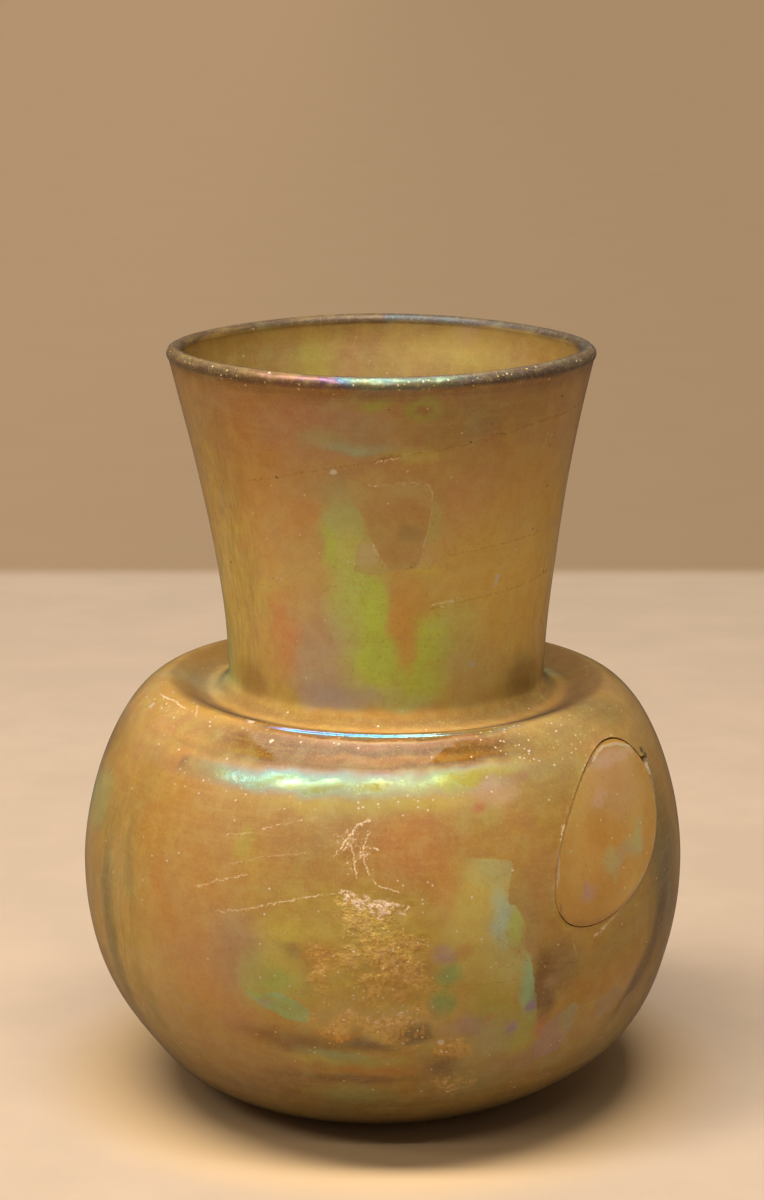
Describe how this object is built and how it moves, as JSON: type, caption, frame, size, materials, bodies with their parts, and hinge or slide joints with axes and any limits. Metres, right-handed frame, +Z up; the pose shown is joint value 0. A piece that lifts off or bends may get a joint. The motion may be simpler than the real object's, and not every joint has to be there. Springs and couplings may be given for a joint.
{
  "type": "ancient glass bottle",
  "caption": "Squat blown-glass bottle with a wide funnel neck, fire-rounded lip, sunken shoulder and pushed-up base; an oval piece of its wall is set back in its hole.",
  "frame": {"origin": "on the axis of the body, on the surface that the bottle stands on", "axes": "+Z up through the mouth, -Y the front, +X the right with the oval patch at the front right"},
  "size_m": [0.0816, 0.0816, 0.1023],
  "materials": {
    "weathered_glass": "weathered amber glass, iridescent in patches",
    "patch_glass": "dull amber glass, even and without iridescence"
  },
  "bodies": {
    "root": {"bottle": "weathered_glass", "oval_patch": "patch_glass"}
  },
  "joints": []
}
